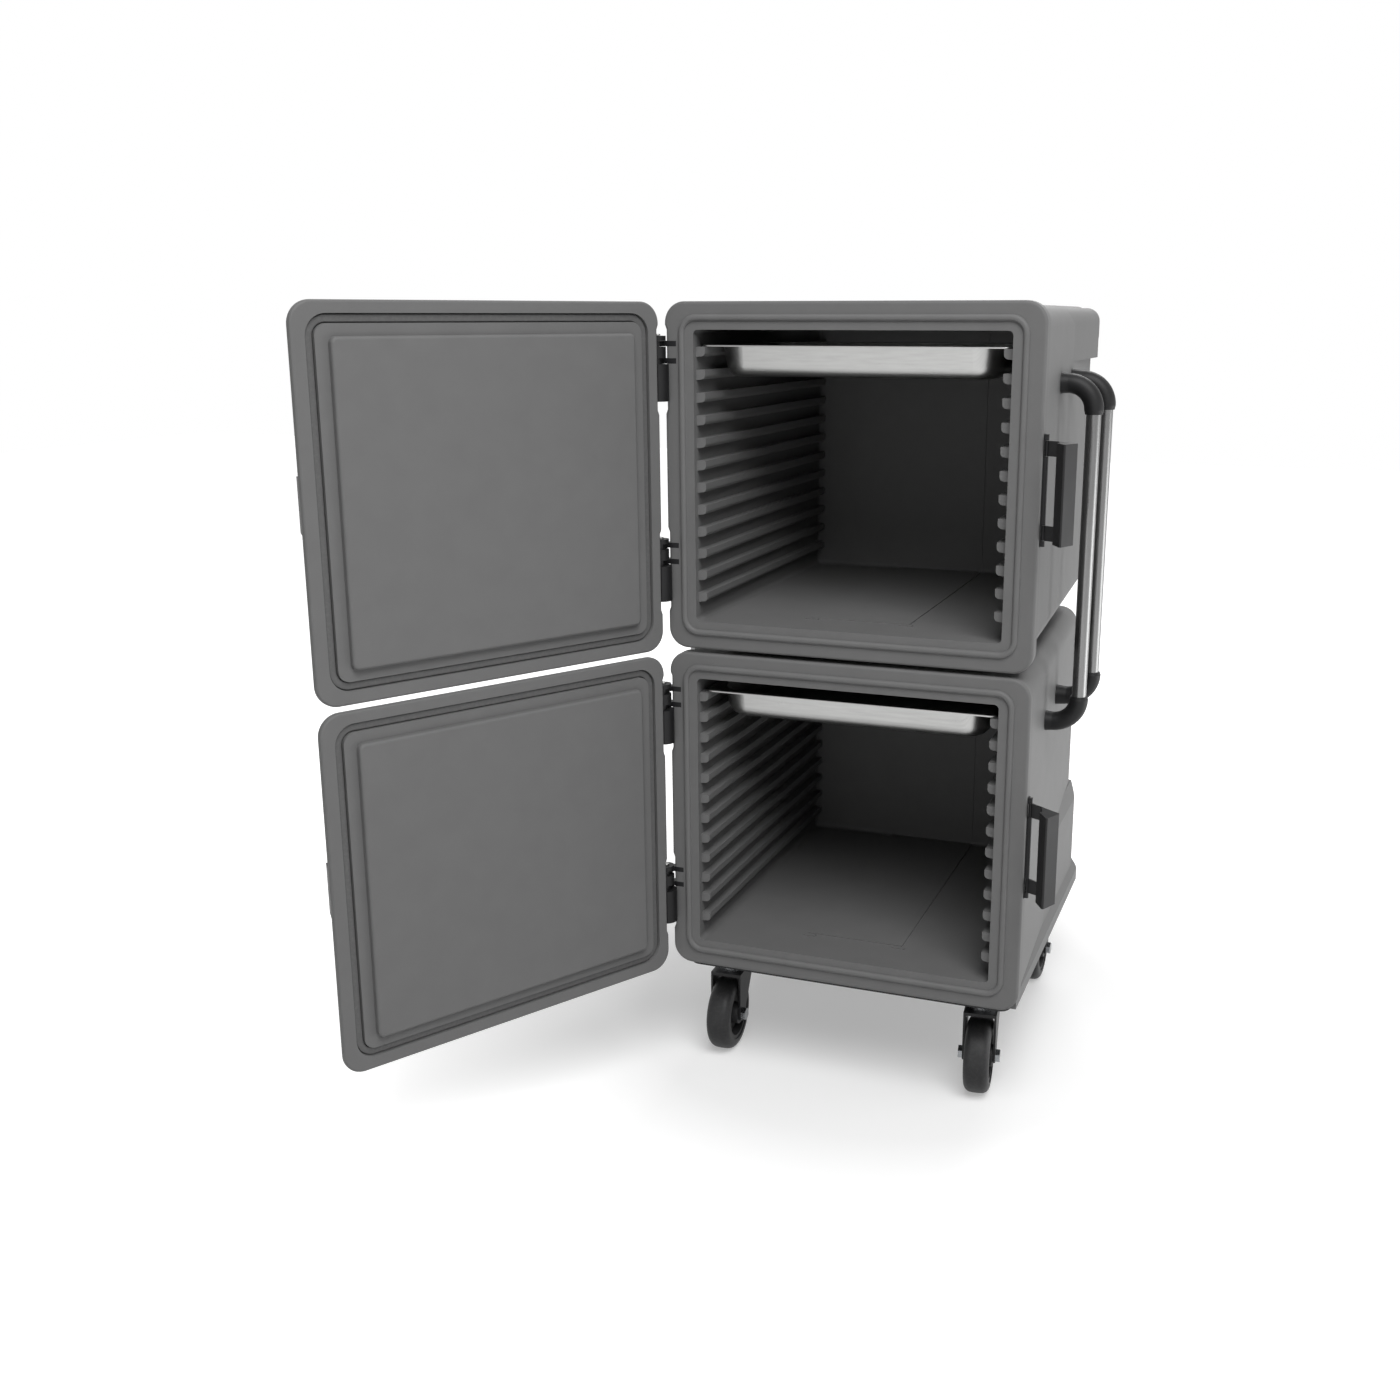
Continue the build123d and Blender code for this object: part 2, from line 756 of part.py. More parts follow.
def elbow(z_leg, y, rise, direction, cabinet):
    """A handle elbow from the cabinet's wall out to the tube, turning up or down."""
    start = tube_x - elbow_bend
    root = front_half_width - elbow_bury
    end_z = z_leg + direction * elbow_bend
    leg = cone(Plane(origin=(root, y, z_leg), z_dir=(1, 0, 0)),
               elbow_root_radius, elbow_bend_radius, start - root)
    ring_face = Plane(origin=(start, y, z_leg), z_dir=(1, 0, 0)) * Circle(elbow_bend_radius)
    centre_line = Axis((start, y, end_z), (0, -direction, 0))
    bend = revolve(ring_face, centre_line, 90)
    tip = cone(Plane(origin=(tube_x, y, end_z), z_dir=(0, 0, direction)),
               elbow_bend_radius, elbow_tip_radius, rise)
    body = leg + bend + tip
    socket = extrude(Circle(tube_radius + socket_play), amount=socket_depth + past)
    rim_z = end_z + direction * rise
    body -= Pos(tube_x, y, rim_z - socket_depth if direction > 0 else rim_z - past) * socket
    body -= cabinet
    return body.solids().sort_by(Axis.X)[-1]


def tube(y, bottom_z):
    """A handle tube between its two elbows' sockets."""
    low = bottom_z + elbow_bend + elbow_bottom_rise - socket_depth
    high = handle_top_z - elbow_bend - elbow_top_rise + socket_depth
    section = Circle(tube_radius) - Circle(tube_radius - tube_wall)
    return Pos(tube_x, y, low) * extrude(section, amount=high - low)


def pan(flange_bottom):
    """A pressed food pan that hangs by its rim on the top pair of rails."""
    seat = flange_bottom + flange_foot + opening_height - rail_drop + pan_lift
    middle_y = pan_front + pan_depth / 2
    top = Plane(origin=(0, middle_y, seat + pan_sheet), z_dir=(0, 0, 1))
    low = Plane(origin=(0, middle_y, seat - pan_drop), z_dir=(0, 0, 1))
    width = pan_length - 2 * pan_rim
    depth = pan_depth - 2 * pan_rim
    rim = extrude(Plane(origin=(0, middle_y, seat)) * RectangleRounded(
        pan_length, pan_depth, pan_rim_corner), amount=pan_sheet)
    outer = loft([top * RectangleRounded(width, depth, pan_corner),
                  low * RectangleRounded(width - 2 * pan_taper, depth - 2 * pan_taper,
                                         pan_corner - pan_taper)])
    outer = fillet(outer.edges().group_by(Axis.Z)[0], pan_bottom_radius)
    raised_top = Plane(origin=(0, middle_y, seat + pan_sheet + past), z_dir=(0, 0, 1))
    floor = Plane(origin=(0, middle_y, seat - pan_drop + pan_sheet), z_dir=(0, 0, 1))
    s = 2 * pan_sheet
    inner = loft([raised_top * RectangleRounded(width - s, depth - s, pan_corner - pan_sheet),
                  floor * RectangleRounded(width - 2 * pan_taper - s, depth - 2 * pan_taper - s,
                                           pan_corner - pan_taper - pan_sheet)])
    inner = fillet(inner.edges().group_by(Axis.Z)[0], pan_bottom_radius - pan_sheet)
    return rim + outer - inner


def wheel_core():
    """The moulded wheel inside its tread, about an axle along X."""
    rim_outer = wheel_radius - tread_thickness
    rim_inner = rim_outer - rim_wall
    half = rim_width / 2
    web = web_thickness / 2
    hub = hub_width / 2
    bore = axle_radius + axle_play
    profile = make_face(Polyline(
        (bore, -hub), (hub_radius, -hub), (hub_radius + core_draft, -web),
        (rim_inner - core_draft, -web), (rim_inner, -half), (rim_outer, -half),
        (rim_outer, half), (rim_inner, half), (rim_inner - core_draft, web),
        (hub_radius + core_draft, web), (hub_radius, hub), (bore, hub),
        close=True))
    return Rot(0, 90, 0) * revolve(Plane.XZ * profile, Axis.Z)


def wheel_tread():
    """The crowned rubber tread."""
    half = tread_width / 2
    rim_outer = wheel_radius - tread_thickness
    shoulder = wheel_radius - tread_crown
    profile = make_face([
        Polyline((shoulder, -half), (rim_outer, -half), (rim_outer, half), (shoulder, half)),
        ThreePointArc((shoulder, half), (wheel_radius, 0), (shoulder, -half))])
    corners = profile.vertices().group_by(Axis.X)[1]
    profile = fillet(corners, tread_corner)
    return Rot(0, 90, 0) * revolve(Plane.XZ * profile, Axis.Z)


def fork(top_z, top_front, top_back):
    """A pressed fork about the axle: two tapered legs and the crown that joins them."""
    inner = hub_width / 2 + fork_gap
    outer = inner + fork_sheet
    top = top_z - wheel_radius
    side = make_hull([
        *(Circle(fork_foot).edges()),
        *(Polyline((top_front, top - fork_shoulder), (top_back, top - fork_shoulder),
                   (top_back, top), (top_front, top), close=True).edges())])
    legs = extrude(Plane(origin=(-outer, 0, wheel_radius), x_dir=(0, 1, 0), z_dir=(1, 0, 0))
                   * side, amount=2 * outer)
    legs -= block(-inner, inner, -wheel_radius, 2 * wheel_radius, 0, top_z - crown_thickness)
    hole = Rot(0, 90, 0) * extrude(Circle(axle_radius), amount=4 * outer)
    return legs - Pos(-2 * outer, 0, wheel_radius) * hole


def axle():
    """The axle bolt with its head and nut, about the wheel's centre."""
    outer = hub_width / 2 + fork_gap + fork_sheet
    shaft = Pos(-outer - past, 0, 0) * (Rot(0, 90, 0) * extrude(
        Circle(axle_radius), amount=2 * (outer + past)))
    head = extrude(RegularPolygon(axle_head_across / 2, 6, major_radius=False), amount=axle_head)
    left = Pos(-outer - axle_head, 0, 0) * (Rot(0, 90, 0) * head)
    right = Pos(outer, 0, 0) * (Rot(0, 90, 0) * head)
    return Pos(0, 0, wheel_radius) * (shaft + left + right)


def swivel_place(side, shape):
    """A piece of a front caster, turned about its swivel axis and put in its corner."""
    turned = Rot(0, 0, swivel_turns[side]) * (Pos(0, -swivel_trail, 0) * shape)
    return Pos(swivel_xs[side], swivel_y, 0) * turned


def swivel_race():
    """The turning half of the swivel: bright race, stud and the stud's head."""
    race = Pos(0, 0, crown_top_z) * extrude(Circle(race_radius), amount=race_height)
    race = fillet(race.edges().group_by(Axis.Z)[-1], race_round)
    head_low = plate_bottom_z - race_play - stud_head_height
    race += Pos(0, 0, crown_top_z) * extrude(Circle(stud_radius), amount=head_low - crown_top_z)
    race += Pos(0, 0, head_low) * extrude(Circle(stud_head_radius), amount=stud_head_height)
    return Pos(0, swivel_trail, 0) * race


def swivel_housing():
    """The fixed half of the swivel: a cup that holds the stud, closed by its plate."""
    low = race_top_z + race_play
    cavity_low = plate_bottom_z - race_play - stud_head_height - race_play
    cup = Pos(0, 0, low) * extrude(Circle(housing_radius), amount=plate_bottom_z - low)
    cup = fillet(cup.edges().group_by(Axis.Z)[0], housing_round)
    cup -= Pos(0, 0, low - past) * extrude(Circle(stud_radius + pin_play),
                                           amount=cavity_low - low + 2 * past)
    cup -= Pos(0, 0, cavity_low) * extrude(
        Circle(stud_head_radius + race_play), amount=plate_bottom_z - cavity_low)
    return cup + caster_plate()


def caster_plate():
    """The plate that a caster is bolted on by."""
    plate = Pos(0, 0, plate_bottom_z) * extrude(
        RectangleRounded(plate_width, plate_length, plate_corner), amount=plate_thickness)
    for x, y in bolt_places():
        plate -= Pos(x, y, plate_bottom_z) * extrude(Circle(bolt_radius + bolt_hole_play),
                                                     amount=plate_thickness)
    return plate


def bolt_places():
    """The four bolts of a caster plate, about the plate's middle."""
    return [(i * bolt_spread_x / 2, j * bolt_spread_y / 2) for i in (-1, 1) for j in (-1, 1)]


def bolt():
    """A plate bolt, from its hexagonal head up into the base plate."""
    head = Pos(0, 0, plate_bottom_z - bolt_head_height) * extrude(
        RegularPolygon(bolt_head_radius, 6), amount=bolt_head_height)
    return head + Pos(0, 0, plate_bottom_z) * extrude(
        Circle(bolt_radius), amount=base_top_z - plate_bottom_z)


def caster_centres():
    """The middles of the four caster plates."""
    front = [(x, swivel_y) for x in swivel_xs.values()]
    return front + [(-rigid_x, rigid_y), (rigid_x, rigid_y)]


def base_plate():
    """The plate under the lower cabinet that carries the casters."""
    base_back = cabinet_depth - base_back_gap
    plate = Pos(0, (base_front + base_back) / 2, plate_top_z) * extrude(
        RectangleRounded(2 * base_half_width, base_back - base_front, base_corner),
        amount=base_thickness)
    for cx, cy in caster_centres():
        for x, y in bolt_places():
            plate -= Pos(cx + x, cy + y, plate_top_z) * extrude(
                Circle(bolt_radius), amount=base_thickness)
    return plate


def heater_cover(flange_bottom):
    """The heater unit's moulded cover on the back wall, with air slots, switch and inlet."""
    z = flange_bottom + heater_lift + heater_height / 2
    back = cabinet_depth + heater_thickness
    outer = RectangleRounded(heater_width, heater_height, heater_corner)
    cover = slab(outer, cabinet_depth, back, z)
    cover = fillet(at_depth(cover, back), heater_round)
    inner = RectangleRounded(heater_width - 2 * heater_wall, heater_height - 2 * heater_wall,
                             heater_corner - heater_wall)
    cover -= slab(inner, cabinet_depth - past, back - heater_wall, z)
    for i in range(louvre_count):
        offset = (i - (louvre_count - 1) / 2) * louvre_pitch
        slot = Pos(louvre_x, offset) * SlotOverall(louvre_length, louvre_slot)
        cover -= slab(slot, back - heater_thickness / 2, back + past, z)
    cover += switch_box(z)
    cover -= rocker_well(z)
    cover -= slab(inlet_outline(), back - heater_thickness / 2, back + past, z)
    return cover


def inlet_outline():
    """The outline of the inlet's body, which its hole in the cover follows."""
    return Pos(inlet_x, 0) * RectangleRounded(
        inlet_width + 2 * inlet_wall, inlet_height + 2 * inlet_wall, inlet_corner)


def switch_box(z):
    """The box behind the rocker that holds its pivot."""
    w = rocker_width / 2 + rocker_play + switch_wall
    h = rocker_height / 2 + rocker_end_play + switch_wall
    back = cabinet_depth + heater_thickness
    return block(rocker_x - w, rocker_x + w, back - rocker_well_depth - switch_wall,
                 back - past, z - h, z + h)


def rocker_well(z):
    """The room for the rocker and its pivot pins."""
    w = rocker_width / 2 + rocker_play
    h = rocker_height / 2 + rocker_end_play
    back = cabinet_depth + heater_thickness
    well = block(rocker_x - w, rocker_x + w, back - rocker_well_depth, back + past, z - h, z + h)
    pins = Pos(rocker_x - w - rocker_bore, back - rocker_pivot_drop, z) * (
        Rot(0, 90, 0) * extrude(Circle(rocker_pin_radius + pin_play),
                                amount=2 * (w + rocker_bore)))
    return well + pins


def rocker(flange_bottom):
    """A rocker switch key with its pivot pins."""
    z = flange_bottom + heater_lift + heater_height / 2
    back = cabinet_depth + heater_thickness
    half = rocker_height / 2
    key = make_face(Polyline(
        (-half, rocker_edge), (-half, -rocker_edge), (-rocker_edge, -rocker_depth),
        (rocker_edge, -rocker_depth), (half, -rocker_edge), (half, rocker_edge),
        (0, rocker_dish), close=True))
    plane = Plane(origin=(rocker_x - rocker_width / 2, back, z), x_dir=(0, 0, 1), z_dir=(1, 0, 0))
    body = extrude(plane * mirror(key, Plane.XZ), amount=rocker_width)
    pin_end = rocker_width / 2 + rocker_play + rocker_pin_length
    pins = Pos(rocker_x - pin_end, back - rocker_pivot_drop, z) * (
        Rot(0, 90, 0) * extrude(Circle(rocker_pin_radius), amount=2 * pin_end))
    pivot = Axis((rocker_x, back - rocker_pivot_drop, z), (1, 0, 0))
    return (body + pins).rotate(pivot, -rocker_tilt)


def power_inlet(flange_bottom):
    """The appliance inlet: a socket with three flat contacts."""
    z = flange_bottom + heater_lift + heater_height / 2
    back = cabinet_depth + heater_thickness
    cavity = Pos(inlet_x, 0) * RectangleRounded(inlet_width, inlet_height, inlet_cavity_corner)
    inlet = slab(inlet_outline(), back - inlet_depth - inlet_wall, back + inlet_proud, z)
    inlet -= slab(cavity, back - inlet_depth, back + inlet_proud + past, z)
    for x, dz in contact_places:
        inlet += block(inlet_x + x - contact_width / 2, inlet_x + x + contact_width / 2,
                       back - inlet_depth - past, back - contact_set_back,
                       z + dz - contact_height / 2, z + dz + contact_height / 2)
    return inlet


def opened(shape):
    """A piece of a door, turned from its closed place to the drawn open one."""
    return shape.rotate(Axis((hinge_x, hinge_y, 0), (0, 0, -1)), door_angle)


def export(name, *shapes):
    """Write one named piece, moved so that the origin lies under the cabinets' middle."""
    solids = []
    for shape in shapes:
        for item in shape if isinstance(shape, list) else [shape]:
            solids += list((Pos(0, origin_shift, 0) * item).solids())
    whole = solids[0] if len(solids) == 1 else Compound(children=solids)
    export_step(whole, f"parts/{name}.step")


os.makedirs("parts", exist_ok=True)

upper_block = tapered_block(upper_bottom_z, upper_top_z, 0)
lower_block = tapered_block(lower_bottom_z, lower_top_z, 0)
lower_extras = [
    sloped_band(front_half_width - skirt_inset, skirt_height, skirt_slope, skirt_front,
                skirt_corner),
    sloped_band(front_half_width - lower_hump_inset, lower_hump_height, lower_hump_slope,
                lower_hump_front, lower_hump_corner)]

export("upper_cabinet", cabinet_shell(
    upper_flange_bottom, upper_bottom_z, upper_top_z, [upper_hump()]))
export("lower_cabinet", cabinet_shell(
    lower_flange_bottom, lower_bottom_z, lower_top_z, lower_extras))
export("stacking_runners", stacking_runners(lower_top_z, upper_bottom_z))

cabinets = {
    "upper": (upper_flange_bottom, upper_bottom_z, upper_top_z),
    "lower": (lower_flange_bottom, lower_bottom_z, lower_top_z)}
for level, (flange_bottom, z_low, z_high) in cabinets.items():
    leaf_bottoms = [flange_bottom + lift for lift in leaf_lifts]
    export(f"{level}_insulation", foam_core(flange_bottom, z_low, z_high))
    export(f"{level}_rails_left", rails(flange_bottom, -1))
    export(f"{level}_rails_right", rails(flange_bottom, 1))
    export(f"{level}_door", opened(door_closed(flange_bottom) - door_foam(flange_bottom)))
    export(f"{level}_door_insulation", opened(door_foam(flange_bottom)))
    export(f"{level}_door_seal", opened(door_seal(flange_bottom)))
    export(f"{level}_door_keeper", opened(keeper(flange_bottom)))
    export(f"{level}_door_hinges", [opened(hinge_leaf(z)) for z in leaf_bottoms])
    export(f"{level}_hinge_brackets", [hinge_bracket(z) for z in leaf_bottoms])
    export(f"{level}_hinge_pins", [hinge_pin(z) for z in leaf_bottoms])
    export(f"{level}_latch", latch(flange_bottom))
    export(f"{level}_latch_bracket", latch_bracket(flange_bottom))
    export(f"{level}_latch_pin", latch_pin(flange_bottom))
    export(f"{level}_pan", pan(flange_bottom))
    export(f"{level}_heater_cover", heater_cover(flange_bottom))
    export(f"{level}_switch_rocker", rocker(flange_bottom))
    export(f"{level}_power_inlet", power_inlet(flange_bottom))

right_top_elbows = [elbow(handle_top_z, y, elbow_top_rise, -1, upper_block) for y in tube_ys]
right_low_elbows = [elbow(z, y, elbow_bottom_rise, 1, lower_block)
                    for y, z in zip(tube_ys, handle_bottom_zs)]
right_tubes = [tube(y, z) for y, z in zip(tube_ys, handle_bottom_zs)]
export("handle_top_elbows", right_top_elbows, [mirror(e, Plane.YZ) for e in right_top_elbows])
export("handle_bottom_elbows", right_low_elbows, [mirror(e, Plane.YZ) for e in right_low_elbows])
export("handle_tubes", right_tubes, [mirror(t, Plane.YZ) for t in right_tubes])

export("base_plate", base_plate())
export("swivel_housings", [Pos(x, y, 0) * swivel_housing() for x, y in caster_centres()[:2]])
export("caster_bolts", [Pos(cx + x, cy + y, 0) * bolt()
                        for cx, cy in caster_centres() for x, y in bolt_places()])
wheel = Pos(0, 0, wheel_radius)
swivel_fork = fork(crown_top_z, fork_top_front, fork_top_back)
for side in ("left", "right"):
    export(f"front_{side}_fork", swivel_place(side, swivel_fork))
    export(f"front_{side}_race", swivel_place(side, swivel_race()))
    export(f"front_{side}_axle", swivel_place(side, axle()))
    export(f"front_{side}_wheel", swivel_place(side, wheel * wheel_core()))
    export(f"front_{side}_tread", swivel_place(side, wheel * wheel_tread()))
    rear = Pos(rigid_x if side == "right" else -rigid_x, rigid_y, 0)
    export(f"rear_{side}_wheel", rear * (wheel * wheel_core()))
    export(f"rear_{side}_tread", rear * (wheel * wheel_tread()))
rigid_fork = fork(plate_bottom_z, -rigid_fork_reach, rigid_fork_reach) + caster_plate()
export("rear_forks", [Pos(x, rigid_y, 0) * rigid_fork for x in (-rigid_x, rigid_x)])
export("rear_axles", [Pos(x, rigid_y, 0) * axle() for x in (-rigid_x, rigid_x)])
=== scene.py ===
# %% [markdown]
# # A heated transport cart for food pans, ready to render
# The shape of the cart is already drawn as CAD solids. This lesson gives every surface its
# finish, adds the small hardware that is too fine for the CAD, and sets up the camera and a
# plain studio. All lengths are in metres, in the same frame as the solids: X to the right,
# Y from the doors to the back, Z up from the floor.

# %% Load the frame
import json
from math import cos, pi, radians, sin

import bpy
import bmesh
from mathutils import Matrix, Vector


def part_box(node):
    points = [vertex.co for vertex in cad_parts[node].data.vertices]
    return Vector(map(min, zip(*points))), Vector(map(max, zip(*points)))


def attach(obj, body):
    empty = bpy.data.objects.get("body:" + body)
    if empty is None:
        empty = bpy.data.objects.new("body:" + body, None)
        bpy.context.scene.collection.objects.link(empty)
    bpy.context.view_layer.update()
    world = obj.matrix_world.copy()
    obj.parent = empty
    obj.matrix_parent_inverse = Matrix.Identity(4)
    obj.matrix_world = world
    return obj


LEVELS = ("upper", "lower")

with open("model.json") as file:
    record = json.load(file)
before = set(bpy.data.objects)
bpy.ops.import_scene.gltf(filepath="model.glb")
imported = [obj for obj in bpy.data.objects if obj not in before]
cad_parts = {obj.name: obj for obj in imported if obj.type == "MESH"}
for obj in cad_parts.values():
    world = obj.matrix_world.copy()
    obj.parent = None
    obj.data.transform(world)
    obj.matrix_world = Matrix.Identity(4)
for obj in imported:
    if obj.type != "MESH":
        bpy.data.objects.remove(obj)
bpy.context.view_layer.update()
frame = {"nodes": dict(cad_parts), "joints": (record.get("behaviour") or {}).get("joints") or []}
nodes = frame["nodes"]

# %% [markdown]
# ## Camera
# The camera stands where the photograph was taken from: right of the middle, a little under
# the cart's top, looking down by 14 degrees. The lens and its small shift were worked out
# from the cabinet's straight edges, so the model and the picture share one perspective.

# %% Camera
PICTURE = 1400
FOCAL_PIXELS = 1488.39
SENSOR = 36.0
PRINCIPAL = (766.75, 690.64)
STAND = (0.73327, -2.71448, 1.379)
LOOK_DOWN = 14.15
TURN_LEFT = 20.28
NEAREST = 0.05

camera = bpy.data.objects.new("Camera", bpy.data.cameras.new("Camera"))
bpy.context.scene.collection.objects.link(camera)
camera.data.sensor_width = SENSOR
camera.data.lens = SENSOR * FOCAL_PIXELS / PICTURE
camera.data.shift_x = (PICTURE / 2 - PRINCIPAL[0]) / PICTURE
camera.data.shift_y = (PRINCIPAL[1] - PICTURE / 2) / PICTURE
camera.data.clip_start = NEAREST
camera.location = STAND
camera.rotation_euler = (radians(90 - LOOK_DOWN), 0, radians(TURN_LEFT))
bpy.context.scene.camera = camera
print("lens mm:", round(camera.data.lens, 2))

# %% [markdown]
# ## Small helpers
# Colours are written as the hex values that a picture editor shows. Shaders need them linear,
# so one function turns them. Another adds a shader node with its settings and its links. On
# these stand the four things that every finish below is made of: noise, two shades of a
# colour, a gloss that varies, and a bump.

# %% Colour and node helpers
def linear(hex_colour):
    """An sRGB hex colour as the linear RGBA that a shader takes."""
    channels = [int(hex_colour[i:i + 2], 16) / 255 for i in (1, 3, 5)]
    bent = [c / 12.92 if c <= 0.04045 else ((c + 0.055) / 1.055) ** 2.4 for c in channels]
    return (*bent, 1.0)


def shaded(colour, factor):
    """A linear colour made darker or lighter."""
    return (*[min(1, c * factor) for c in colour[:3]], 1)


def add(tree, kind, inputs=None, **settings):
    """A node with its settings; inputs are constants, or outputs of other nodes to link."""
    node = tree.nodes.new("ShaderNode" + kind)
    for name, value in settings.items():
        setattr(node, name, value)
    for name, value in (inputs or {}).items():
        socket = node.inputs[name]
        if isinstance(value, bpy.types.NodeSocket):
            tree.links.new(value, socket)
        else:
            socket.default_value = value
    return node


def new_material(name, sockets):
    """A material whose Principled shader has these values, and its place coordinates."""
    material = bpy.data.materials.new(name)
    material.use_nodes = True
    tree = material.node_tree
    shader = tree.nodes["Principled BSDF"]
    place = add(tree, "TexCoord").outputs["Object"]
    for socket, value in sockets.items():
        shader.inputs[socket].default_value = value
    return material, tree, shader, place


def noise(tree, place, scale, detail):
    """Noise in the piece's own coordinates; scale is the number of its cells in a metre."""
    return add(tree, "TexNoise", {"Vector": place, "Scale": scale, "Detail": detail}).outputs["Fac"]


def colour_between(tree, shader, factor, dark, light):
    """Colour the shader between two stops, each a position and a linear colour."""
    ramp = add(tree, "ValToRGB", {"Fac": factor})
    for element, (position, colour) in zip(ramp.color_ramp.elements, (dark, light)):
        element.position = position
        element.color = colour
    tree.links.new(ramp.outputs["Color"], shader.inputs["Base Color"])


def vary_gloss(tree, shader, factor, least, most):
    """Let the shader's roughness follow a factor."""
    gloss = add(tree, "MapRange", {"Value": factor, "To Min": least, "To Max": most})
    tree.links.new(gloss.outputs["Result"], shader.inputs["Roughness"])


def bumped(tree, height, strength, distance, under=None):
    """The normal of a bump with this height map, on top of another bump if there is one."""
    inputs = {"Height": height, "Strength": strength, "Distance": distance}
    if under is not None:
        inputs["Normal"] = under
    return add(tree, "Bump", inputs).outputs["Normal"]


CABINET_GREY = "#6c6c6c"
print("grey of the cabinets, linear:", [round(c, 3) for c in linear(CABINET_GREY)[:3]])

# %% [markdown]
# ## Moulded polyethylene
# The cabinets and doors are rotationally moulded polyethylene. The powder melts against a
# blasted mould, which leaves a satin skin with a faint orange peel: bumps about 1.5 mm
# apart and a few hundredths of a millimetre high, over slow waves a hand's breadth long.
# Two noises give those two scales, and a third varies the grey by a shade or two.

# %% Cabinet plastic
PEEL = 0.0015
WAVE = 0.09
CLOUD = 0.05


def moulded_polyethylene(name, colour, roughness):
    """Satin rotationally moulded plastic with orange peel."""
    material, tree, shader, place = new_material(name, {"IOR": 1.5, "Specular IOR Level": 0.2})
    peel = noise(tree, place, 1 / PEEL / 2, 3.0)
    waves = noise(tree, place, 1 / WAVE, 1.0)
    cloud = noise(tree, place, 1 / CLOUD, 5.0)
    base = linear(colour)
    colour_between(tree, shader, cloud, (0.3, shaded(base, 0.97)), (0.7, shaded(base, 1.03)))
    vary_gloss(tree, shader, cloud, roughness - 0.05, roughness + 0.07)
    slow = bumped(tree, waves, 0.25, 0.0006)
    fine = bumped(tree, peel, 0.25, 0.00012, slow)
    tree.links.new(fine, shader.inputs["Normal"])
    return material


cabinet_plastic = moulded_polyethylene("rotomoulded grey polyethylene", CABINET_GREY, 0.55)
print("materials so far:", cabinet_plastic.name)

# %% [markdown]
# ## Insulation foam
# The walls and doors are filled with polyurethane foam. It is shut inside and only shows if
# a piece is hidden, so a pale honey colour with small cells is enough.

# %% Foam
FOAM_CELL = 0.0012

foam, tree, shader, place = new_material("rigid polyurethane foam", {"Roughness": 0.9})
cells = add(tree, "TexVoronoi", {"Vector": place, "Scale": 1 / FOAM_CELL})
colour_between(tree, shader, cells.outputs["Distance"], (0.0, linear("#c9b27a")),
               (1.0, linear("#e6d7a8")))
print("materials so far:", foam.name)

# %% [markdown]
# ## Glass-filled nylon
# Hinges, latches and the bar ends are injection moulded from black nylon with glass fibre.
# The glass brings a fine grain to the skin: a satin black with soft, broad highlights. The
# wheels and the switches are other hard plastics with the same kind of grain.

# %% Black nylon
PATCH = 0.02


def moulded_nylon(name, colour, roughness, grain_mm):
    """Satin injection moulded plastic with a fine spark-eroded grain."""
    material, tree, shader, place = new_material(name, {"IOR": 1.53, "Specular IOR Level": 0.22})
    grain = noise(tree, place, 1000 / grain_mm / 2, 2.0)
    patches = noise(tree, place, 1 / PATCH, 4.0)
    base = linear(colour)
    colour_between(tree, shader, patches, (0.3, shaded(base, 0.8)), (0.75, shaded(base, 1.25)))
    vary_gloss(tree, shader, patches, roughness - 0.05, roughness + 0.08)
    tree.links.new(bumped(tree, grain, 0.3, 0.00008), shader.inputs["Normal"])
    return material


black_nylon = moulded_nylon("black glass-filled nylon", "#171718", 0.48, 0.8)
wheel_plastic = moulded_nylon("dark grey polypropylene", "#2b2b2c", 0.5, 1.0)
switch_plastic = moulded_nylon("black gloss ABS", "#101011", 0.18, 0.6)
print("materials so far:", black_nylon.name, wheel_plastic.name, switch_plastic.name)

# %% [markdown]
# ## Rubber
# The wheel treads are moulded dark grey rubber, dusty where they roll, and the door seals
# are soft grey silicone. Both are dull, with wide faint highlights.

# %% Rubber
SCUFF = 0.006


def moulded_rubber(name, colour, dusty, roughness):
    """Dull rubber, paler in scuffed patches."""
    material, tree, shader, place = new_material(
        name, {"Roughness": roughness, "IOR": 1.52, "Specular IOR Level": 0.25})
    scuffs = add(tree, "TexNoise", {"Vector": place, "Scale": 1 / SCUFF, "Detail": 6.0,
                                    "Roughness": 0.7}).outputs["Fac"]
    colour_between(tree, shader, scuffs, (0.45, linear(colour)), (0.75, linear(dusty)))
    tree.links.new(bumped(tree, scuffs, 0.2, 0.0002), shader.inputs["Normal"])
    return material


tread_rubber = moulded_rubber("dark grey tread rubber", "#272728", "#343434", 0.5)
seal_rubber = moulded_rubber("grey silicone seal", "#5a5a5a", "#646464", 0.5)
print("materials so far:", tread_rubber.name, seal_rubber.name)

# %% [markdown]
# ## Metals
# Five metal finishes: satin stainless steel sheet for the pans and pins, anodised aluminium
# tube for the push bars, bright zinc plate on the caster hardware, turned stainless steel for
# the screws, and black powder paint on the forks and plates. Bare metals keep the shader's
# default IOR and take their colour from the metal itself. The lines that rolling or drawing
# leave are noise stretched along the line: real ones are 0.05 mm apart, drawn here 1 mm apart
# so that they show at all. Zinc and turned steel have no direction, so theirs is even.

# %% Bare metals
LINE = 0.001
PAN_LINES = (0.05, LINE, 0.05)
TUBE_LINES = (LINE, LINE, 0.08)
EVEN_GRAIN = (0.004, 0.004, 0.004)


